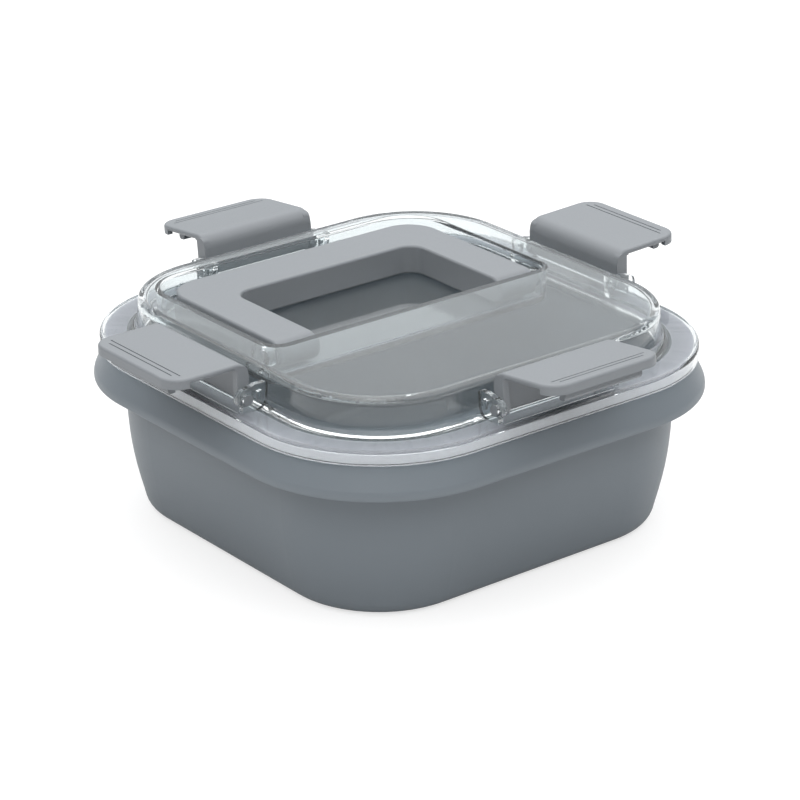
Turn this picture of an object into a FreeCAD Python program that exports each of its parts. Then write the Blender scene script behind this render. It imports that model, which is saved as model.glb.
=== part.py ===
import FreeCAD, Part
import math
import os

from FreeCAD import Vector

# Square food container with a clear lid, a folding handle and four side clips.
# Millimetres, +Z up, origin under the middle of the base. The handle's bar lies at the back, +Y.

# Every outline is a rounded square round the same four corner centres,
# so each wall runs parallel to the next one. All of them follow the tub's mouth.
CORNER_CENTRE = 48.3
MOUTH_HALF = 101.5

# Tub
TUB_WALL = 2.3
TUB_FLOOR = 2.6
BASE_INSET = 9.5
BASE_EDGE_RADIUS = 7.0
FLOOR_RADIUS = 4.2
WAIST_INSET = 2.5
WAIST_HEIGHT = 28.0
WAIST_RADIUS = 230.0
RIM_HEIGHT = 75.9
RIM_THICKNESS = 2.3
RIM_WIDTH = 7.0
LIP_RISE = 3.0
COLLAR_FLARE = 5.5
COLLAR_WALL = 2.0
COLLAR_DROP = 14.3
COLLAR_BAND = 2.9
COLLAR_FLARE_RADIUS = 8.0
COLLAR_EDGE_RADIUS = 0.9

# Seal in the channel between the lid's plug and its skirt
SEAL_THICKNESS = 1.2
SEAL_BEAD = 1.3
SEAL_CLEARANCE = 0.3
SEAL_SIDE_GAP = 1.9

# Lid
LID_WALL = 2.2
LID_CLEARANCE = 0.3
FLANGE_INSET = 3.1
FLANGE_EDGE_RADIUS = 1.6
SKIRT_WALL = 2.2
DOME_INSET = 6.6
DOME_DRAFT = 1.4
DOME_RISE = 15.8
DOME_EDGE_RADIUS = 2.6
DOME_FOOT_RADIUS = 4.3
PLUG_WALL = 1.6
PLUG_DEPTH = 5.2
PLUG_CLEARANCE = 0.5

# Pocket in the lid that holds the folded handle
POCKET_SIDE_INSET = 17.1
POCKET_BACK_INSET = 9.5
POCKET_FRONT_GAP = 9.3
POCKET_DRAFT = 0.9
POCKET_FRONT_RADIUS = 7.5
POCKET_BACK_RADIUS = 19.6
POCKET_FLOOR_RADIUS = 3.0

# Handle and its two pivots
HANDLE_SIDE_GAP = 5.7
HANDLE_BACK_GAP = 7.2
HANDLE_FLOOR_GAP = 0.7
HANDLE_TOP_GAP = 1.5
HANDLE_ARM_WIDTH = 20.7
HANDLE_BAR_DEPTH = 25.0
HANDLE_BACK_RADIUS = 15.5
HANDLE_GRIP_RADIUS = 8.0
HANDLE_EDGE_RADIUS = 1.2
HANDLE_PIVOT_Y = -3.4
HANDLE_PIN_RADIUS = 3.0
HANDLE_PIN_LENGTH = 4.6
PIVOT_BOSS_WALL = 2.2
PIVOT_BOSS_GAP = 0.5
PIN_CLEARANCE = 0.06

# Clips and their hinge ears
CLIP_HALF_LENGTH = 29.9
CLIP_PIVOT_STEP = 9.0
CLIP_PIVOT_RISE = 5.4
CLIP_PIN_RADIUS = 2.4
CLIP_THICKNESS = 2.5
CLIP_LEG_INSET = 2.6
CLIP_TOP_RISE = 15.7
CLIP_BEND_RADIUS = 6.2
CLIP_EDGE_RADIUS = 1.2
CLIP_CORNER_RADIUS = 9.0
CLIP_LIP = 1.7
CLIP_LIP_WIDTH = 2.6
CLIP_RIM_WIDTH = 3.1
CLIP_KNUCKLE_RADIUS = 3.3
HOOK_DEPTH = 6.3
HOOK_THICKNESS = 3.7
HOOK_INSET = 9.2
HOOK_TO_EDGE = 8.0
HOOK_CLEARANCE = 0.35
GROOVE_WIDTH = 0.6
GROOVE_DEPTH = 0.4
GROOVE_HALF_LENGTH = 22.5
GROOVE_PITCH = 2.5
GROOVE_INSET = 5.0
EAR_GAP = 0.2
EAR_THICKNESS = 2.7
EAR_TOP_RISE = 6.2
EAR_OUT = 5.4
EAR_FOOT_OUT = 2.8
LEG_RECESS_DEPTH = 0.7
LEG_RECESS_OUT = 3.7

# How far each clip's outer edge stands up from level, in degrees
CLIP_REST_ANGLES = {"front": 6.8, "back": -5.9, "left": 0.0, "right": 2.0}
# The four sides in order, each a quarter turn about +Z on from the one before, starting at +X
CLIP_SIDES = ("right", "back", "left", "front")

# Places that follow from the sizes above
OVERLAP = 1.0
MOUTH_INSIDE = MOUTH_HALF - TUB_WALL
BASE_HALF = MOUTH_HALF - BASE_INSET
WAIST_HALF = MOUTH_HALF - WAIST_INSET
COLLAR_TOP_HALF = MOUTH_HALF + RIM_WIDTH
COLLAR_FOOT_HALF = COLLAR_TOP_HALF + COLLAR_FLARE
COLLAR_FOOT = RIM_HEIGHT - COLLAR_DROP
FLANGE_HALF = COLLAR_FOOT_HALF - FLANGE_INSET
FLANGE_UNDERSIDE = RIM_HEIGHT + LIP_RISE + SEAL_CLEARANCE + SEAL_THICKNESS
FLANGE_TOP = FLANGE_UNDERSIDE + LID_WALL
DOME_FOOT_HALF = MOUTH_HALF - DOME_INSET
DOME_TOP_HALF = DOME_FOOT_HALF - DOME_DRAFT
DOME_TOP = FLANGE_TOP + DOME_RISE
POCKET_FLOOR = FLANGE_TOP
POCKET_HALF_WIDTH = DOME_TOP_HALF - POCKET_SIDE_INSET
POCKET_BACK = DOME_TOP_HALF - POCKET_BACK_INSET
POCKET_FRONT = HANDLE_PIVOT_Y - POCKET_FRONT_GAP
HANDLE_HALF_WIDTH = POCKET_HALF_WIDTH - HANDLE_SIDE_GAP
HANDLE_GRIP_HALF_WIDTH = HANDLE_HALF_WIDTH - HANDLE_ARM_WIDTH
HANDLE_BACK = POCKET_BACK - HANDLE_BACK_GAP
HANDLE_GRIP_BACK = HANDLE_BACK - HANDLE_BAR_DEPTH
HANDLE_THICKNESS = DOME_RISE - HANDLE_FLOOR_GAP - HANDLE_TOP_GAP
HANDLE_PIVOT_HEIGHT = POCKET_FLOOR + HANDLE_FLOOR_GAP + HANDLE_THICKNESS / 2
CLIP_PIVOT_OUT = DOME_FOOT_HALF + CLIP_PIVOT_STEP
CLIP_PIVOT_HEIGHT = FLANGE_TOP + CLIP_PIVOT_RISE
CLIP_TOP = CLIP_PIVOT_HEIGHT + CLIP_TOP_RISE


def section_point(s, z):
    """A point of a section: s outwards from the middle, z up."""
    return Vector(s, 0, z)


def plan_point(x, y):
    """A point of an outline seen from above."""
    return Vector(x, y, 0)


def rounded_wire(corners, place):
    """Closed wire through corners (a, b, radius), each rounded as far as its sides allow."""
    points = [place(a, b) for a, b, _ in corners]
    count = len(points)
    ends = []
    for index, (_, _, radius) in enumerate(corners):
        here = points[index]
        back = points[index - 1] - here
        ahead = points[(index + 1) % count] - here
        half_angle = back.getAngle(ahead) / 2
        room = 0.49 * min(back.Length, ahead.Length)
        reach = min(radius / math.tan(half_angle), room)
        if reach < 1e-3:
            ends.append((here, None, here))
            continue
        true_radius = reach * math.tan(half_angle)
        back = back.normalize()
        ahead = ahead.normalize()
        inwards = (back + ahead).normalize()
        middle = here + inwards * (true_radius / math.sin(half_angle) - true_radius)
        ends.append((here + back * reach, middle, here + ahead * reach))
    edges = []
    for index, (start, middle, end) in enumerate(ends):
        if middle is not None:
            edges.append(Part.Arc(start, middle, end).toShape())
        following = ends[(index + 1) % count][0]
        edges.append(Part.LineSegment(end, following).toShape())
    return Part.Wire(edges)


def rounded_face(corners, place=section_point):
    """Flat face inside a rounded closed wire."""
    return Part.Face(rounded_wire(corners, place))


def turned(shape, angle):
    """Copy of a shape turned about +Z."""
    copy = shape.copy()
    copy.rotate(Vector(0, 0, 0), Vector(0, 0, 1), angle)
    return copy


def fused(shapes):
    """One clean solid from touching ones."""
    return shapes[0].fuse(shapes[1:]).removeSplitter()


def swept_round(face, bottom, top):
    """Sweep a section that starts at the corner centre round the rounded square and fill its middle."""
    side = face.copy()
    side.translate(Vector(0, -CORNER_CENTRE, 0))
    side = side.extrude(Vector(0, 2 * CORNER_CENTRE, 0))
    corner = face.copy()
    corner.translate(Vector(0, CORNER_CENTRE, 0))
    corner = corner.revolve(Vector(CORNER_CENTRE, CORNER_CENTRE, 0), Vector(0, 0, 1), 90)
    pieces = [turned(piece, 90 * turn) for turn in range(4) for piece in (side, corner)]
    if top > bottom:
        span = 2 * CORNER_CENTRE
        pieces.append(Part.makeBox(span, span, top - bottom,
                                   Vector(-CORNER_CENTRE, -CORNER_CENTRE, bottom)))
    return fused(pieces)


def box_between(low, high):
    """Box from its low corner to its high corner."""
    size = [b - a for a, b in zip(low, high)]
    return Part.makeBox(size[0], size[1], size[2], Vector(*low))


def rod(radius, start, end):
    """Round rod from one point to another."""
    line = end - start
    return Part.makeCylinder(radius, line.Length, start, line)


def tub_wall_inside():
    """Inner corners of the tub's section, from the lip's top down to the floor."""
    return [
        (MOUTH_INSIDE, RIM_HEIGHT + LIP_RISE, 0),
        (WAIST_HALF - TUB_WALL, WAIST_HEIGHT, WAIST_RADIUS),
        (BASE_HALF - TUB_WALL, TUB_FLOOR, FLOOR_RADIUS),
    ]


def tub():
    """Open tub with a flared collar round its rim and an upstanding lip."""
    rim_underside = RIM_HEIGHT - RIM_THICKNESS
    flare_height = COLLAR_FOOT + COLLAR_BAND
    outside = [
        (CORNER_CENTRE, 0, 0),
        (BASE_HALF, 0, BASE_EDGE_RADIUS),
        (WAIST_HALF, WAIST_HEIGHT, WAIST_RADIUS),
        (MOUTH_HALF, rim_underside, 0),
        (COLLAR_TOP_HALF - COLLAR_WALL, rim_underside, 0),
        (COLLAR_FOOT_HALF - COLLAR_WALL, flare_height, 0),
        (COLLAR_FOOT_HALF - COLLAR_WALL, COLLAR_FOOT, 0),
        (COLLAR_FOOT_HALF, COLLAR_FOOT, COLLAR_EDGE_RADIUS),
        (COLLAR_FOOT_HALF, flare_height, COLLAR_FLARE_RADIUS),
        (COLLAR_TOP_HALF, RIM_HEIGHT, 0),
        (MOUTH_HALF, RIM_HEIGHT, 0),
        (MOUTH_HALF, RIM_HEIGHT + LIP_RISE, 0),
    ]
    section = rounded_face(outside + tub_wall_inside() + [(CORNER_CENTRE, TUB_FLOOR, 0)])
    return swept_round(section, 0, TUB_FLOOR)


def lid_shell():
    """Dome, flange, skirt and plug of the lid before the pocket is sunk into it."""
    skirt_foot = RIM_HEIGHT + LID_CLEARANCE
    plug_out = MOUTH_INSIDE - PLUG_CLEARANCE
    plug_foot = FLANGE_UNDERSIDE - PLUG_DEPTH
    section = rounded_face([
        (CORNER_CENTRE, DOME_TOP, 0),
        (DOME_TOP_HALF, DOME_TOP, DOME_EDGE_RADIUS),
        (DOME_FOOT_HALF, FLANGE_TOP, DOME_FOOT_RADIUS),
        (FLANGE_HALF, FLANGE_TOP, FLANGE_EDGE_RADIUS),
        (FLANGE_HALF, skirt_foot, 0),
        (FLANGE_HALF - SKIRT_WALL, skirt_foot, 0),
        (FLANGE_HALF - SKIRT_WALL, FLANGE_UNDERSIDE, 0),
        (plug_out, FLANGE_UNDERSIDE, 0),
        (plug_out, plug_foot, 0),
        (plug_out - PLUG_WALL, plug_foot, 0),
        (plug_out - PLUG_WALL, FLANGE_UNDERSIDE, 0),
        (DOME_FOOT_HALF - LID_WALL, FLANGE_UNDERSIDE, 0),
        (DOME_TOP_HALF - LID_WALL, DOME_TOP - LID_WALL, DOME_EDGE_RADIUS),
        (CORNER_CENTRE, DOME_TOP - LID_WALL, 0),
    ])
    return swept_round(section, DOME_TOP - LID_WALL, DOME_TOP)


def pocket_block(wall, bottom, top):
    """Drafted block of the pocket's outline, grown all round by a wall."""
    rings = []
    for height in (bottom, top):
        draft = POCKET_DRAFT * (DOME_TOP - height) / (DOME_TOP - POCKET_FLOOR)
        grow = wall - draft
        half = POCKET_HALF_WIDTH + grow
        front = POCKET_FRONT - grow
        back = POCKET_BACK + grow
        ring = rounded_wire([
            (-half, front, POCKET_FRONT_RADIUS + grow),
            (half, front, POCKET_FRONT_RADIUS + grow),
            (half, back, POCKET_BACK_RADIUS + grow),
            (-half, back, POCKET_BACK_RADIUS + grow),
        ], plan_point)
        ring.translate(Vector(0, 0, height))
        rings.append(ring)
    return Part.makeLoft(rings, True, True)


def edges_at(shape, height):
    """Edges of a shape that lie level at one height."""
    return [edge for edge in shape.Edges
            if abs(edge.BoundBox.ZMin - height) < 1e-4 and abs(edge.BoundBox.ZMax - height) < 1e-4]


def pocket_hollow():
    """The space of the pocket, with a rounded foot."""
    block = pocket_block(0, POCKET_FLOOR, DOME_TOP + OVERLAP)
    return block.makeFillet(POCKET_FLOOR_RADIUS, edges_at(block, POCKET_FLOOR))


def pocket_casing():
    """The solid round the pocket, from which its space is cut."""
    block = pocket_block(LID_WALL, POCKET_FLOOR - LID_WALL, DOME_TOP - 0.5 * LID_WALL)
    return block.makeChamfer(0.5 * POCKET_FLOOR_RADIUS, edges_at(block, POCKET_FLOOR - LID_WALL))


def pivot_bosses():
    """Two bosses on the pocket's side walls that take the handle's pins."""
    bosses = []
    for side in (-1, 1):
        start = Vector(side * (HANDLE_HALF_WIDTH + PIVOT_BOSS_GAP), HANDLE_PIVOT_Y, HANDLE_PIVOT_HEIGHT)
        end = Vector(side * (POCKET_HALF_WIDTH + 0.5 * LID_WALL), HANDLE_PIVOT_Y, HANDLE_PIVOT_HEIGHT)
        bosses.append(rod(HANDLE_PIN_RADIUS + PIVOT_BOSS_WALL, start, end))
    return bosses


def pivot_bores():
    """Blind bores in the bosses, a little longer than the pins."""
    bores = []
    for side in (-1, 1):
        inner = HANDLE_HALF_WIDTH
        outer = HANDLE_HALF_WIDTH + HANDLE_PIN_LENGTH + PIVOT_BOSS_GAP
        start = Vector(side * inner, HANDLE_PIVOT_Y, HANDLE_PIVOT_HEIGHT)
        end = Vector(side * outer, HANDLE_PIVOT_Y, HANDLE_PIVOT_HEIGHT)
        bores.append(rod(HANDLE_PIN_RADIUS + PIN_CLEARANCE, start, end))
    return bores


def ear_section():
    """Side view of one hinge ear, rooted in the dome's wall and in the flange."""
    out = CLIP_PIVOT_OUT
    top = CLIP_PIVOT_HEIGHT + EAR_TOP_RISE
    root = DOME_TOP_HALF - 0.5 * LID_WALL
    foot = FLANGE_TOP - 0.5 * LID_WALL
    step = FLANGE_TOP + 4.1
    return rounded_face([
        (root, foot, 0),
        (root, top - 1.4, 0.8),
        (out - 8.6, top, 2.0),
        (out - 3.4, top - 0.1, 6.0),
        (out + EAR_OUT - 1.1, top - 1.8, 2.4),
        (out + EAR_OUT, CLIP_PIVOT_HEIGHT + 1.6, 4.0),
        (out + EAR_OUT - 0.2, step, 0.6),
        (out + EAR_FOOT_OUT, step, 0.4),
        (out + EAR_FOOT_OUT, foot, 0),
    ])


def ear_window():
    """Slanting three-cornered hole between an ear's boss and its inner leg."""
    out = CLIP_PIVOT_OUT
    height = CLIP_PIVOT_HEIGHT
    return rounded_face([
        (out - 4.7, height + 2.7, 0.4),
        (out - 7.5, height + 3.0, 0.5),
        (out - 5.6, height - 2.9, 0.4),
    ])


def between(face, low, high):
    """Solid from a section pushed along the side, between two distances from its middle."""
    copy = face.copy()
    copy.translate(Vector(0, low, 0))
    return copy.extrude(Vector(0, high - low, 0))


def clip_axis_point(along):
    """Point on the hinge line of the clip on the +X side."""
    return Vector(CLIP_PIVOT_OUT, along, CLIP_PIVOT_HEIGHT)


def ears():
    """Both hinge ears of the +X side as solids, and the cuts that open them."""
    inner = CLIP_HALF_LENGTH + EAR_GAP
    outer = inner + EAR_THICKNESS
    solids = []
    cuts = [rod(CLIP_PIN_RADIUS + PIN_CLEARANCE, clip_axis_point(-outer - OVERLAP),
                clip_axis_point(outer + OVERLAP))]
    for side in (-1, 1):
        low, high = sorted((side * inner, side * outer))
        solids.append(between(ear_section(), low, high))
        cuts.append(between(ear_window(), low - OVERLAP, high + OVERLAP))
    return solids, cuts


def leg_recess():
    """Shallow flat under the clip's leg between the two ears of the +X side."""
    half = CLIP_HALF_LENGTH + 0.5 * EAR_GAP
    return box_between((DOME_FOOT_HALF + DOME_FOOT_RADIUS, -half, FLANGE_TOP - LEG_RECESS_DEPTH),
                       (CLIP_PIVOT_OUT + LEG_RECESS_OUT, half, FLANGE_TOP + OVERLAP))


def lid():
    """Clear lid: dome, pocket, flange, skirt, plug, hinge ears and pivot bosses in one moulding."""
    solids = [lid_shell().fuse(pocket_casing()).cut(pocket_hollow())]
    cuts = pivot_bores()
    solids += pivot_bosses()
    for quarter in range(4):
        ear_solids, ear_cuts = ears()
        solids += [turned(shape, 90 * quarter) for shape in ear_solids]
        cuts += [turned(shape, 90 * quarter) for shape in ear_cuts + [leg_recess()]]
    return fused(solids).cut(cuts)


def seal_ring():
    """Flat soft seal with a bead below its outer edge, in the channel between plug and skirt."""
    inside = MOUTH_INSIDE - PLUG_CLEARANCE + SEAL_CLEARANCE
    outside = FLANGE_HALF - SKIRT_WALL - SEAL_SIDE_GAP
    top = FLANGE_UNDERSIDE
    section = rounded_face([
        (inside, top, 0),
        (outside, top, 0),
        (outside, top - SEAL_THICKNESS - SEAL_BEAD, 0),
        (outside - 2 * SEAL_BEAD, top - SEAL_THICKNESS - SEAL_BEAD, 0),
        (outside - 2 * SEAL_BEAD, top - SEAL_THICKNESS, 0),
        (inside, top - SEAL_THICKNESS, 0),
    ])
    return swept_round(section, 0, 0)


def handle():
    """U-shaped handle that lies in the pocket, with round arm ends and a pin on each side."""
    low = HANDLE_PIVOT_HEIGHT - HANDLE_THICKNESS / 2
    high = HANDLE_PIVOT_HEIGHT + HANDLE_THICKNESS / 2
    end = HANDLE_PIVOT_Y - HANDLE_THICKNESS / 2
    plan = rounded_face([
        (-HANDLE_HALF_WIDTH, end, 0),
        (-HANDLE_GRIP_HALF_WIDTH, end, 0),
        (-HANDLE_GRIP_HALF_WIDTH, HANDLE_GRIP_BACK, HANDLE_GRIP_RADIUS),
        (HANDLE_GRIP_HALF_WIDTH, HANDLE_GRIP_BACK, HANDLE_GRIP_RADIUS),
        (HANDLE_GRIP_HALF_WIDTH, end, 0),
        (HANDLE_HALF_WIDTH, end, 0),
        (HANDLE_HALF_WIDTH, HANDLE_BACK, HANDLE_BACK_RADIUS),
        (-HANDLE_HALF_WIDTH, HANDLE_BACK, HANDLE_BACK_RADIUS),
    ], plan_point)
    plan.translate(Vector(0, 0, low))
    bow = plan.extrude(Vector(0, 0, high - low))
    keep = box_between((-HANDLE_HALF_WIDTH, HANDLE_PIVOT_Y, low), (HANDLE_HALF_WIDTH, HANDLE_BACK, high))
    round_end = rod(HANDLE_THICKNESS / 2,
                    Vector(-HANDLE_HALF_WIDTH, HANDLE_PIVOT_Y, HANDLE_PIVOT_HEIGHT),
                    Vector(HANDLE_HALF_WIDTH, HANDLE_PIVOT_Y, HANDLE_PIVOT_HEIGHT))
    bow = bow.common(keep.fuse(round_end)).removeSplitter()
    bow = bow.makeFillet(HANDLE_EDGE_RADIUS, edges_at(bow, high))
    pins = []
    for side in (-1, 1):
        start = Vector(side * (HANDLE_HALF_WIDTH - OVERLAP), HANDLE_PIVOT_Y, HANDLE_PIVOT_HEIGHT)
        tip = Vector(side * (HANDLE_HALF_WIDTH + HANDLE_PIN_LENGTH), HANDLE_PIVOT_Y, HANDLE_PIVOT_HEIGHT)
        pins.append(rod(HANDLE_PIN_RADIUS, start, tip))
    return fused([bow] + pins)


def hook_start():
    """Distance from the hinge line to the hook, so that it swings clear of the collar's foot."""
    centre_out = COLLAR_FOOT_HALF - COLLAR_EDGE_RADIUS - CLIP_PIVOT_OUT
    centre_down = CLIP_PIVOT_HEIGHT - COLLAR_FOOT - COLLAR_EDGE_RADIUS
    swing = math.hypot(centre_out, centre_down) + COLLAR_EDGE_RADIUS + HOOK_CLEARANCE
    tip_rise = CLIP_TOP_RISE - CLIP_THICKNESS - HOOK_DEPTH
    return math.sqrt(swing ** 2 - tip_rise ** 2)


def clip_edge():
    """Distance from the middle of the container to the flap's outer edge."""
    return CLIP_PIVOT_OUT + hook_start() + HOOK_TO_EDGE


def clip_section():
    """Leg, bend and flap of a clip in side view."""
    leg = CLIP_PIVOT_OUT - CLIP_LEG_INSET
    edge = clip_edge()
    return rounded_face([
        (leg, CLIP_PIVOT_HEIGHT - 1.9, 0.8),
        (leg + CLIP_THICKNESS, CLIP_PIVOT_HEIGHT - 1.9, 0.8),
        (leg + CLIP_THICKNESS, CLIP_TOP - CLIP_THICKNESS, CLIP_BEND_RADIUS - CLIP_THICKNESS),
        (edge, CLIP_TOP - CLIP_THICKNESS, 0),
        (edge, CLIP_TOP, 0),
        (leg, CLIP_TOP, CLIP_BEND_RADIUS),
    ])


def clip_outline(inset, bottom):
    """Outline of the clip from above with round outer corners, as a block up to above its top."""
    inner = CLIP_PIVOT_OUT - CLIP_LEG_INSET - OVERLAP
    edge = clip_edge() - inset
    half = CLIP_HALF_LENGTH - inset
    face = rounded_face([
        (inner, -half, 0),
        (edge, -half, CLIP_CORNER_RADIUS - inset),
        (edge, half, CLIP_CORNER_RADIUS - inset),
        (inner, half, 0),
    ], plan_point)
    face.translate(Vector(0, 0, bottom))
    return face.extrude(Vector(0, 0, CLIP_TOP + OVERLAP - bottom))


def clip_plate():
    """Flap, bend and leg in one sheet, with rounded edges on its upper side."""
    half = CLIP_HALF_LENGTH
    bottom = CLIP_PIVOT_HEIGHT - 3 * CLIP_KNUCKLE_RADIUS
    plate = between(clip_section(), -half, half).common(clip_outline(0, bottom))
    upper = [edge for edge in edges_at(plate, CLIP_TOP)
             if edge.BoundBox.XMax > CLIP_PIVOT_OUT + CLIP_BEND_RADIUS]
    return plate.makeFillet(CLIP_EDGE_RADIUS, upper)


def clip_lip():
    """Ledge under the flap's outer edge that runs round both corners."""
    bottom = CLIP_TOP - CLIP_THICKNESS - CLIP_LIP
    ring = clip_outline(0, bottom).cut(clip_outline(CLIP_LIP_WIDTH, bottom - OVERLAP))
    low = (clip_edge() - CLIP_CORNER_RADIUS, -CLIP_HALF_LENGTH, bottom)
    high = (clip_edge(), CLIP_HALF_LENGTH, CLIP_TOP - CLIP_EDGE_RADIUS)
    return ring.common(box_between(low, high))


def clip_rim_section():
    """Side view of a stiffening rim, from the knuckle up into the bend."""
    leg = CLIP_PIVOT_OUT - CLIP_LEG_INSET
    face = CLIP_PIVOT_OUT + CLIP_KNUCKLE_RADIUS
    return rounded_face([
        (leg, CLIP_PIVOT_HEIGHT, 0),
        (face, CLIP_PIVOT_HEIGHT, 0),
        (face, CLIP_TOP - CLIP_THICKNESS, 0.6),
        (face + 1.0, CLIP_TOP - CLIP_THICKNESS, 0.0),
        (face + 1.0, CLIP_TOP - 0.5 * CLIP_THICKNESS, 0.0),
        (leg + 1.0, CLIP_TOP - 0.5 * CLIP_THICKNESS, CLIP_BEND_RADIUS),
        (leg, CLIP_TOP - CLIP_BEND_RADIUS, 0),
    ])


def clip_hook():
    """Rib under the flap that catches the foot of the tub's collar."""
    start = CLIP_PIVOT_OUT + hook_start()
    root = CLIP_TOP - 0.5 * CLIP_THICKNESS
    tip = CLIP_TOP - CLIP_THICKNESS - HOOK_DEPTH
    face = rounded_face([
        (start, tip, 0.6),
        (start + HOOK_THICKNESS, tip, 1.4),
        (start + HOOK_THICKNESS, root, 0),
        (start, root, 0),
    ])
    half = CLIP_HALF_LENGTH - HOOK_INSET
    return between(face, -half, half)


def clip_grooves():
    """Two fine grooves along the flap near its edge."""
    grooves = []
    for count in range(2):
        out = clip_edge() - GROOVE_INSET - count * GROOVE_PITCH
        half = GROOVE_HALF_LENGTH + count * GROOVE_PITCH
        grooves.append(box_between((out - GROOVE_WIDTH / 2, -half, CLIP_TOP - GROOVE_DEPTH),
                                   (out + GROOVE_WIDTH / 2, half, CLIP_TOP + OVERLAP)))
    return grooves


def clip(rest_angle):
    """Clip of the +X side at its rest angle: flap, leg, end rims, knuckles, pins and hook."""
    half = CLIP_HALF_LENGTH
    pieces = [clip_plate(), clip_lip(), clip_hook()]
    for side in (-1, 1):
        low, high = sorted((side * (half - CLIP_RIM_WIDTH), side * half))
        pieces.append(between(clip_rim_section(), low, high))
        pieces.append(rod(CLIP_KNUCKLE_RADIUS, clip_axis_point(side * (half - CLIP_RIM_WIDTH)),
                          clip_axis_point(side * half)))
        pieces.append(rod(CLIP_PIN_RADIUS, clip_axis_point(side * (half - OVERLAP)),
                          clip_axis_point(side * (half + EAR_GAP + EAR_THICKNESS))))
    shape = fused(pieces).cut(clip_grooves())
    shape.rotate(clip_axis_point(0), Vector(0, 1, 0), -rest_angle)
    return shape


def main():
    """Build every node and write it as its own STEP file."""
    os.makedirs("parts", exist_ok=True)
    nodes = {"tub": tub(), "lid": lid(), "seal_ring": seal_ring(), "handle": handle()}
    for quarter, name in enumerate(CLIP_SIDES):
        nodes["clip_" + name] = turned(clip(CLIP_REST_ANGLES[name]), 90 * quarter)
    for name, shape in nodes.items():
        shape.exportStep("parts/" + name + ".step")


if __name__ == "__main__":
    main()
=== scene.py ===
"""Finishes, seal and studio for a square food container with a clear clip lid."""

import math

import bmesh
import bpy
from bpy.props import FloatProperty, FloatVectorProperty, IntProperty, PointerProperty
from mathutils import Matrix, Vector


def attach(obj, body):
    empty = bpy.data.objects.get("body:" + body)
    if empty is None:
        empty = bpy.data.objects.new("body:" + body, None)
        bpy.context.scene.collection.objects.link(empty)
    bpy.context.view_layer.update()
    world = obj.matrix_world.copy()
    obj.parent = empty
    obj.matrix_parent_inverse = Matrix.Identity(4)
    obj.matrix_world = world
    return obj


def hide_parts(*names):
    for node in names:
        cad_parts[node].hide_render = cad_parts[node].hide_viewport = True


bl_info = {
    "name": "Food container finishes",
    "version": (1, 0, 0),
    "blender": (4, 5, 0),
    "location": "View3D > Sidebar > Container",
    "description": "Gives the food container its plastics and stands it in a studio",
    "category": "Object",
}

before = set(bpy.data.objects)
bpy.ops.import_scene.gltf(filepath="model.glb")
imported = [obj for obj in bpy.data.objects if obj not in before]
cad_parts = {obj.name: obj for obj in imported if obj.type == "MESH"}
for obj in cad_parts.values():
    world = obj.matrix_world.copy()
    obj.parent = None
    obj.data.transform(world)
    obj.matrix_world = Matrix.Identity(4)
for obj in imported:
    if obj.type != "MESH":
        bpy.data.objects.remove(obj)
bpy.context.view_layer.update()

CLIPS = ("clip_front", "clip_back", "clip_left", "clip_right")
MERGE_DISTANCE = 0.00001

NOISE_MIDDLE = (0.3, 0.7)
COLOUR_SPREAD = 0.02
ROUGHNESS_SPREAD = 0.04

TUB_ROUGHNESS = 0.42
GRIP_ROUGHNESS = 0.45
GREY_INDEX = 1.46
FLOW_LENGTH = 0.06
GRAIN_DETAIL = 3.0
GRAIN_DEPTH = 0.000012

CLEAR_ROUGHNESS = (0.02, 0.06)
WAVE_DETAIL = 1.0
WAVE_DEPTH = 0.00001

SEAL_ROUGHNESS = (0.45, 0.55)
CLOUD_LENGTH = 0.012
MILKINESS = 0.5
MILK_DEPTH = 0.004

FLOOR_ROUGHNESS = 0.9
FLOOR_SHINE = 0.1
FLOOR_WHITE = 1.35

SENSOR_WIDTH = 36.0
LIGHT_BOUNCES = 24


class FinishSettings(bpy.types.PropertyGroup):
    """Colours and surface of the container's plastics."""

    tub_colour: FloatVectorProperty(
        name="Tub colour", description="Colour of the tub's grey plastic",
        subtype="COLOR", size=3, min=0.0, max=1.0, default=(0.168, 0.193, 0.215))
    grip_colour: FloatVectorProperty(
        name="Clip and handle colour",
        description="Colour of the grey plastic of the clips and the handle",
        subtype="COLOR", size=3, min=0.0, max=1.0, default=(0.208, 0.223, 0.239))
    clear_tint: FloatVectorProperty(
        name="Lid tint", description="Faint tint of the clear plastic",
        subtype="COLOR", size=3, min=0.0, max=1.0, default=(0.935, 0.965, 0.971))
    seal_colour: FloatVectorProperty(
        name="Seal colour", description="Colour of the milky silicone",
        subtype="COLOR", size=3, min=0.0, max=1.0, default=(0.72, 0.71, 0.75))
    grain: FloatProperty(
        name="Grain", description="Size of the fine grain that the mould leaves on grey plastic",
        subtype="DISTANCE", unit="LENGTH", min=0.0001, max=0.01, default=0.0006)
    clear_haze: FloatProperty(
        name="Haze", description="Share of the light that the clear plastic scatters",
        subtype="FACTOR", min=0.0, max=1.0, default=0.022)
    lid_shade: FloatVectorProperty(
        name="Lid shade", description="Lamplight that one wall of the clear plastic lets through",
        subtype="COLOR", size=3, min=0.0, max=1.0, default=(0.68, 0.7, 0.71))
    waviness: FloatProperty(
        name="Waviness", description="Length of the faint waves in the clear plastic",
        subtype="DISTANCE", unit="LENGTH", min=0.001, max=0.2, default=0.022)
    clear_index: FloatProperty(
        name="Refraction", description="How strongly the clear plastic bends light",
        min=1.0, max=2.0, default=1.45)


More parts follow.
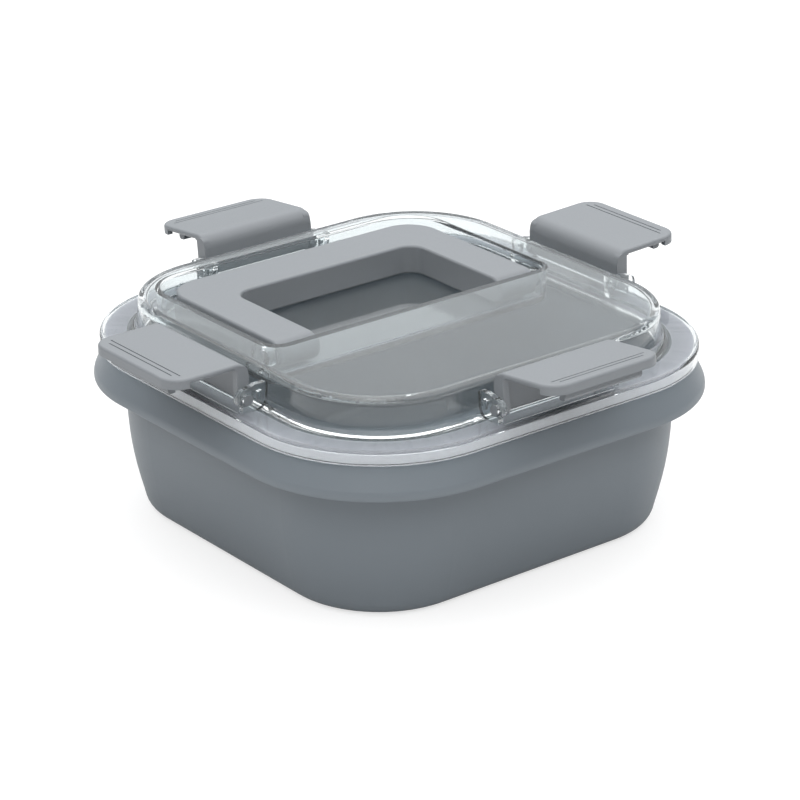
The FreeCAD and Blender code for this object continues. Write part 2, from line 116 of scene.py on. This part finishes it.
class SealSettings(bpy.types.PropertyGroup):
    """Sizes of the soft seal in the channel under the lid's flange."""

    corner_centre: FloatProperty(
        name="Corner centre",
        description="From the container's middle to the middle of each rounded corner",
        subtype="DISTANCE", unit="LENGTH", default=0.0483)
    outer_half: FloatProperty(
        name="Outer half width",
        description="From the container's middle to the seal's outer face",
        subtype="DISTANCE", unit="LENGTH", default=0.1085)
    skin: FloatProperty(
        name="Skin", description="Thickness of the seal's hanging edge",
        subtype="DISTANCE", unit="LENGTH", default=0.0014)
    edge_foot: FloatProperty(
        name="Edge foot", description="Height of the lower end of the seal's hanging edge",
        subtype="DISTANCE", unit="LENGTH", default=0.0764)
    corner_steps: IntProperty(
        name="Corner steps", description="Straight pieces in each rounded corner",
        min=4, default=24)


class StageSettings(bpy.types.PropertyGroup):
    """Camera, lights and floor of the studio."""

    aim_height: FloatProperty(
        name="Aim height", description="Height of the point that the camera turns round",
        subtype="DISTANCE", unit="LENGTH", default=0.04347)
    distance: FloatProperty(
        name="Camera distance", description="From the aim point to the camera",
        subtype="DISTANCE", unit="LENGTH", default=1.4012)
    azimuth: FloatProperty(
        name="Azimuth", description="Turn of the camera round the container, in degrees",
        default=-38.36)
    elevation: FloatProperty(
        name="Elevation", description="Height of the camera above the horizon, in degrees",
        default=23.17)
    yaw: FloatProperty(
        name="Yaw", description="Small turn of the camera away from the aim point, in degrees",
        default=-0.038)
    pitch: FloatProperty(
        name="Pitch", description="Small tilt of the camera away from the aim point, in degrees",
        default=-0.24)
    roll: FloatProperty(
        name="Roll", description="Small turn of the camera about its line of sight, in degrees",
        default=-0.234)
    lens: FloatProperty(
        name="Lens", description="Focal length in millimetres on a sensor 36 mm wide",
        default=143.23)
    floor_size: FloatProperty(
        name="Floor size", description="Side of the square floor",
        subtype="DISTANCE", unit="LENGTH", default=4.4)
    floor_colour: FloatVectorProperty(
        name="Floor colour", description="Pale colour of the floor",
        subtype="COLOR", size=3, min=0.0, max=1.0, default=(0.8, 0.8, 0.8))
    floor_glow: FloatProperty(
        name="Floor glow",
        description="Share of the floor's look that is even white, which lightens its shadow",
        subtype="FACTOR", min=0.0, max=1.0, default=0.5)
    ceiling_size: FloatProperty(
        name="Ceiling light size", description="Side of the square light overhead",
        subtype="DISTANCE", unit="LENGTH", default=5.0)
    ceiling_height: FloatProperty(
        name="Ceiling light height", description="Height of the light overhead",
        subtype="DISTANCE", unit="LENGTH", default=1.9)
    ceiling_power: FloatProperty(
        name="Ceiling light power", description="Power of the light overhead, in watts",
        default=140.0)
    backdrop_width: FloatProperty(
        name="Backdrop width", description="Width of the light behind the container",
        subtype="DISTANCE", unit="LENGTH", default=4.0)
    backdrop_height: FloatProperty(
        name="Backdrop height", description="Height of the light behind the container",
        subtype="DISTANCE", unit="LENGTH", default=1.8)
    backdrop_distance: FloatProperty(
        name="Backdrop distance", description="From the container to the light behind it",
        subtype="DISTANCE", unit="LENGTH", default=2.7)
    backdrop_power: FloatProperty(
        name="Backdrop power", description="Power of the light behind the container, in watts",
        default=15.0)
    backdrop_colour: FloatVectorProperty(
        name="Backdrop colour", description="Faint cool tint of the light behind the container",
        subtype="COLOR", size=3, min=0.0, max=1.0, default=(0.93, 0.967, 1.0))
    room_light: FloatProperty(
        name="Room light", description="Strength of the even light from all round",
        min=0.0, default=0.28)


def new_material(name):
    """Material with an empty node tree, its tree and the socket that takes its surface."""
    material = bpy.data.materials.new(name)
    material.use_nodes = True
    tree = material.node_tree
    tree.nodes.clear()
    output = tree.nodes.new("ShaderNodeOutputMaterial")
    return material, tree, output.inputs["Surface"]


def object_noise(tree, length, detail=2.0):
    """Noise on the object's own coordinates whose blobs are about one length across."""
    place = tree.nodes.new("ShaderNodeTexCoord")
    noise = tree.nodes.new("ShaderNodeTexNoise")
    noise.inputs["Scale"].default_value = 1.0 / length
    noise.inputs["Detail"].default_value = detail
    tree.links.new(place.outputs["Object"], noise.inputs["Vector"])
    return noise.outputs["Fac"]


def relief(tree, noise, depth):
    """Surface direction with the relief of a noise, of one depth."""
    bump = tree.nodes.new("ShaderNodeBump")
    bump.inputs["Strength"].default_value = 1.0
    bump.inputs["Distance"].default_value = depth
    tree.links.new(noise, bump.inputs["Height"])
    return bump.outputs["Normal"]


def ranged(tree, noise, low, high):
    """Map the middle of a noise to values between low and high."""
    span = tree.nodes.new("ShaderNodeMapRange")
    span.inputs["From Min"].default_value = NOISE_MIDDLE[0]
    span.inputs["From Max"].default_value = NOISE_MIDDLE[1]
    span.inputs["To Min"].default_value = low
    span.inputs["To Max"].default_value = high
    tree.links.new(noise, span.inputs["Value"])
    return span.outputs["Result"]


def shaded(tree, colour, noise):
    """Colour that varies a little with a noise."""
    mix = tree.nodes.new("ShaderNodeMix")
    mix.data_type = "RGBA"
    darker = [part * (1 - COLOUR_SPREAD) for part in colour]
    lighter = [min(part * (1 + COLOUR_SPREAD), 1) for part in colour]
    mix.inputs["A"].default_value = [*darker, 1]
    mix.inputs["B"].default_value = [*lighter, 1]
    tree.links.new(noise, mix.inputs["Factor"])
    return mix.outputs["Result"]


def blended(tree, share, first, second):
    """Blend of two shaders; the share is that of the second."""
    mix = tree.nodes.new("ShaderNodeMixShader")
    tree.links.new(share, mix.inputs["Fac"])
    tree.links.new(first, mix.inputs[1])
    tree.links.new(second, mix.inputs[2])
    return mix.outputs["Shader"]


def grey_plastic(name, colour, grain, roughness):
    """Satin moulded plastic with a fine grain and faint flow marks."""
    material, tree, surface = new_material(name)
    shader = tree.nodes.new("ShaderNodeBsdfPrincipled")
    flow = object_noise(tree, FLOW_LENGTH)
    fine = object_noise(tree, grain, GRAIN_DETAIL)
    uneven = ranged(tree, fine, roughness - ROUGHNESS_SPREAD, roughness + ROUGHNESS_SPREAD)
    tree.links.new(shaded(tree, colour, flow), shader.inputs["Base Color"])
    tree.links.new(uneven, shader.inputs["Roughness"])
    tree.links.new(relief(tree, fine, GRAIN_DEPTH), shader.inputs["Normal"])
    shader.inputs["IOR"].default_value = GREY_INDEX
    tree.links.new(shader.outputs["BSDF"], surface)
    return material


def clear_plastic(name, finish):
    """Clear polished plastic with a faint haze that lets lamps through to what is behind it."""
    material, tree, surface = new_material(name)
    shader = tree.nodes.new("ShaderNodeBsdfPrincipled")
    waves = object_noise(tree, finish.waviness, WAVE_DETAIL)
    shader.inputs["Base Color"].default_value = [*finish.clear_tint, 1]
    shader.inputs["Transmission Weight"].default_value = 1.0 - finish.clear_haze
    shader.inputs["IOR"].default_value = finish.clear_index
    tree.links.new(ranged(tree, waves, *CLEAR_ROUGHNESS), shader.inputs["Roughness"])
    tree.links.new(relief(tree, waves, WAVE_DEPTH), shader.inputs["Normal"])
    see_through = tree.nodes.new("ShaderNodeBsdfTransparent")
    see_through.inputs["Color"].default_value = [*finish.lid_shade, 1]
    rays = tree.nodes.new("ShaderNodeLightPath")
    look = blended(tree, rays.outputs["Is Shadow Ray"],
                   shader.outputs["BSDF"], see_through.outputs["BSDF"])
    tree.links.new(look, surface)
    return material


def milky_silicone(name, colour):
    """Soft milky silicone with a dull skin."""
    material, tree, surface = new_material(name)
    shader = tree.nodes.new("ShaderNodeBsdfPrincipled")
    cloud = object_noise(tree, CLOUD_LENGTH)
    tree.links.new(shaded(tree, colour, cloud), shader.inputs["Base Color"])
    tree.links.new(ranged(tree, cloud, *SEAL_ROUGHNESS), shader.inputs["Roughness"])
    shader.inputs["Subsurface Weight"].default_value = MILKINESS
    shader.inputs["Subsurface Radius"].default_value = (1.0, 1.0, 1.0)
    shader.inputs["Subsurface Scale"].default_value = MILK_DEPTH
    tree.links.new(shader.outputs["BSDF"], surface)
    return material


def matt_floor(name, colour, glow):
    """Even pale floor; to the camera, a share of it is white, so its shadows look lighter."""
    material, tree, surface = new_material(name)
    shader = tree.nodes.new("ShaderNodeBsdfPrincipled")
    shader.inputs["Base Color"].default_value = [*colour, 1]
    shader.inputs["Roughness"].default_value = FLOOR_ROUGHNESS
    shader.inputs["Specular IOR Level"].default_value = FLOOR_SHINE
    white = tree.nodes.new("ShaderNodeEmission")
    white.inputs["Strength"].default_value = FLOOR_WHITE
    rays = tree.nodes.new("ShaderNodeLightPath")
    share = tree.nodes.new("ShaderNodeMath")
    share.operation = "MULTIPLY"
    share.inputs[1].default_value = glow
    tree.links.new(rays.outputs["Is Camera Ray"], share.inputs[0])
    look = blended(tree, share.outputs["Value"], shader.outputs["BSDF"], white.outputs["Emission"])
    tree.links.new(look, surface)
    return material


def add_piece(name, form):
    """New object in the scene that takes its mesh from a form, which is freed."""
    mesh = bpy.data.meshes.new(name)
    form.to_mesh(mesh)
    form.free()
    piece = bpy.data.objects.new(name, mesh)
    bpy.context.scene.collection.objects.link(piece)
    return piece


def seal_section(seal):
    """Outline of the seal's section, as distance from the middle and height.

    All but the hanging edge is read from one straight side of the frame's seal.
    """
    corner = seal.corner_centre
    ring = [point.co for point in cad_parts["seal_ring"].data.vertices]
    side = [place for place in ring
            if place.x > corner and abs(place.y) < corner + MERGE_DISTANCE]
    top = max(place.z for place in side)
    foot = min(place.z for place in side)
    inner = min(place.x for place in side)
    under = min(place.z for place in side if place.x < inner + MERGE_DISTANCE)
    bead_in = min(place.x for place in side if place.z < foot + MERGE_DISTANCE)
    outer = seal.outer_half
    edge_in = outer - seal.skin
    return ((inner, top), (outer, top), (outer, seal.edge_foot), (edge_in, seal.edge_foot),
            (edge_in, foot), (bead_in, foot), (bead_in, under), (inner, under))


def swept_ring(name, section, corner, steps):
    """Closed ring with a rounded square plan: a section carried along four sides and corners."""
    form = bmesh.new()
    points = [form.verts.new((out, -corner, height)) for out, height in section]
    edges = [form.edges.new(pair) for pair in zip(points, points[1:] + points[:1])]
    for quarter in range(4):
        turn = Matrix.Rotation(math.radians(90 * quarter), 3, "Z")
        grown = bmesh.ops.extrude_edge_only(form, edges=edges)["geom"]
        ends = [item for item in grown if isinstance(item, bmesh.types.BMVert)]
        edges = [item for item in grown if isinstance(item, bmesh.types.BMEdge)]
        bmesh.ops.translate(form, vec=turn @ Vector((0, 2 * corner, 0)), verts=ends)
        grown = bmesh.ops.spin(
            form, geom=edges, cent=turn @ Vector((corner, corner, 0)), axis=(0, 0, 1),
            angle=math.radians(90), steps=steps)["geom_last"]
        edges = [item for item in grown if isinstance(item, bmesh.types.BMEdge)]
    bmesh.ops.remove_doubles(form, verts=form.verts, dist=MERGE_DISTANCE)
    bmesh.ops.recalc_face_normals(form, faces=form.faces)
    return add_piece(name, form)


def dress(node, material):
    """Give a node of the frame its finish."""
    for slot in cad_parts[node].material_slots:
        slot.material = material


class CONTAINER_OT_tub(bpy.types.Operator):
    """Finish the grey tub"""

    bl_idname = "container.tub"
    bl_label = "Tub"

    def execute(self, context):
        finish = context.scene.container_finish
        dress("tub", grey_plastic("tub_plastic", finish.tub_colour, finish.grain, TUB_ROUGHNESS))
        return {"FINISHED"}


class CONTAINER_OT_lid(bpy.types.Operator):
    """Finish the clear lid"""

    bl_idname = "container.lid"
    bl_label = "Lid"

    def execute(self, context):
        dress("lid", clear_plastic("clear_plastic", context.scene.container_finish))
        return {"FINISHED"}


class CONTAINER_OT_seal(bpy.types.Operator):
    """Make the silicone seal with its hanging edge"""

    bl_idname = "container.seal"
    bl_label = "Seal"

    def execute(self, context):
        seal = context.scene.container_seal
        colour = context.scene.container_finish.seal_colour
        piece = swept_ring("seal", seal_section(seal), seal.corner_centre, seal.corner_steps)
        piece.data.materials.append(milky_silicone("seal_silicone", colour))
        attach(piece, "lid")
        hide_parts("seal_ring")
        return {"FINISHED"}


class CONTAINER_OT_grips(bpy.types.Operator):
    """Finish the handle and the four clips"""

    bl_idname = "container.grips"
    bl_label = "Handle and clips"

    def execute(self, context):
        finish = context.scene.container_finish
        plastic = grey_plastic("grip_plastic", finish.grip_colour, finish.grain, GRIP_ROUGHNESS)
        for node in ("handle", *CLIPS):
            dress(node, plastic)
        return {"FINISHED"}


def add_floor(stage):
    """Square pale floor at the height that the container stands on."""
    form = bmesh.new()
    bmesh.ops.create_grid(form, x_segments=1, y_segments=1, size=stage.floor_size / 2)
    floor = add_piece("floor", form)
    floor.data.materials.append(matt_floor("floor_paint", stage.floor_colour, stage.floor_glow))


def add_light(name, size, power, colour, place, aim):
    """Flat area light of a width and a height at a place, turned to an aim point."""
    lamp = bpy.data.lights.new(name, "AREA")
    lamp.shape = "RECTANGLE"
    lamp.size, lamp.size_y = size
    lamp.energy = power
    lamp.color = colour
    light = bpy.data.objects.new(name, lamp)
    light.location = place
    light.rotation_euler = (aim - place).to_track_quat("-Z", "Y").to_euler()
    light.visible_camera = False
    bpy.context.scene.collection.objects.link(light)


def add_room(strength):
    """Even light from all round, in front of a background that looks white."""
    world = bpy.data.worlds.new("room")
    world.use_nodes = True
    tree = world.node_tree
    light = tree.nodes["Background"]
    light.inputs["Color"].default_value = (1, 1, 1, 1)
    light.inputs["Strength"].default_value = strength
    white = tree.nodes.new("ShaderNodeBackground")
    white.inputs["Color"].default_value = (1, 1, 1, 1)
    rays = tree.nodes.new("ShaderNodeLightPath")
    look = blended(tree, rays.outputs["Is Camera Ray"],
                   light.outputs["Background"], white.outputs["Background"])
    tree.links.new(look, tree.nodes["World Output"].inputs["Surface"])
    bpy.context.scene.world = world


def direction(azimuth, elevation):
    """Unit vector from the container towards a viewer at these angles, in degrees."""
    turn = math.radians(azimuth)
    rise = math.radians(elevation)
    level = math.cos(rise)
    return Vector((math.sin(turn) * level, -math.cos(turn) * level, math.sin(rise)))


def add_camera(stage):
    """Camera that looks at the container from its front left, a little from above."""
    data = bpy.data.cameras.new("camera")
    data.sensor_width = SENSOR_WIDTH
    data.lens = stage.lens
    camera = bpy.data.objects.new("camera", data)
    aim = Vector((0, 0, stage.aim_height))
    place = aim + stage.distance * direction(stage.azimuth, stage.elevation)
    heading = stage.azimuth + stage.yaw
    back = direction(heading, stage.elevation + stage.pitch)
    right = Vector((math.cos(math.radians(heading)), math.sin(math.radians(heading)), 0))
    turn = Matrix((right, back.cross(right), back)).transposed().to_4x4()
    roll = Matrix.Rotation(math.radians(stage.roll), 4, "Z")
    camera.matrix_world = Matrix.Translation(place) @ turn @ roll
    bpy.context.scene.collection.objects.link(camera)
    bpy.context.scene.camera = camera


class CONTAINER_OT_stage(bpy.types.Operator):
    """Set up the floor, the lights and the camera"""

    bl_idname = "container.stage"
    bl_label = "Studio"

    def execute(self, context):
        stage = context.scene.container_stage
        behind = direction(stage.azimuth + 180, stage.elevation)
        add_floor(stage)
        add_room(stage.room_light)
        add_light("ceiling_light", (stage.ceiling_size, stage.ceiling_size), stage.ceiling_power,
                  (1, 1, 1), Vector((0, 0, stage.ceiling_height)), Vector((0, 0, 0)))
        add_light("backdrop_light", (stage.backdrop_width, stage.backdrop_height),
                  stage.backdrop_power, stage.backdrop_colour,
                  stage.backdrop_distance * behind, Vector((0, 0, stage.aim_height)))
        add_camera(stage)
        context.scene.view_settings.view_transform = "Standard"
        context.scene.cycles.max_bounces = LIGHT_BOUNCES
        context.scene.cycles.transmission_bounces = LIGHT_BOUNCES
        context.scene.cycles.transparent_max_bounces = LIGHT_BOUNCES
        return {"FINISHED"}


class CONTAINER_PT_panel(bpy.types.Panel):
    """Sidebar panel with the container's settings and steps"""

    bl_label = "Food container"
    bl_idname = "CONTAINER_PT_panel"
    bl_space_type = "VIEW_3D"
    bl_region_type = "UI"
    bl_category = "Container"

    def draw(self, context):
        layout = self.layout
        scene = context.scene
        for group in (scene.container_finish, scene.container_seal, scene.container_stage):
            box = layout.box()
            for name in group.__annotations__:
                box.prop(group, name)
        for step in STEPS:
            layout.operator(step.bl_idname)


STEPS = (CONTAINER_OT_stage, CONTAINER_OT_tub, CONTAINER_OT_lid, CONTAINER_OT_seal,
         CONTAINER_OT_grips)
CLASSES = (FinishSettings, SealSettings, StageSettings, *STEPS, CONTAINER_PT_panel)


def register():
    """Register the settings, the steps and the panel."""
    for item in CLASSES:
        bpy.utils.register_class(item)
    bpy.types.Scene.container_finish = PointerProperty(type=FinishSettings)
    bpy.types.Scene.container_seal = PointerProperty(type=SealSettings)
    bpy.types.Scene.container_stage = PointerProperty(type=StageSettings)


def unregister():
    """Take away what register adds."""
    del bpy.types.Scene.container_stage
    del bpy.types.Scene.container_seal
    del bpy.types.Scene.container_finish
    for item in reversed(CLASSES):
        bpy.utils.unregister_class(item)


def main():
    """Run every step in order."""
    register()
    bpy.ops.container.stage()
    bpy.ops.container.tub()
    bpy.ops.container.lid()
    bpy.ops.container.seal()
    bpy.ops.container.grips()


if __name__ == "__main__":
    main()
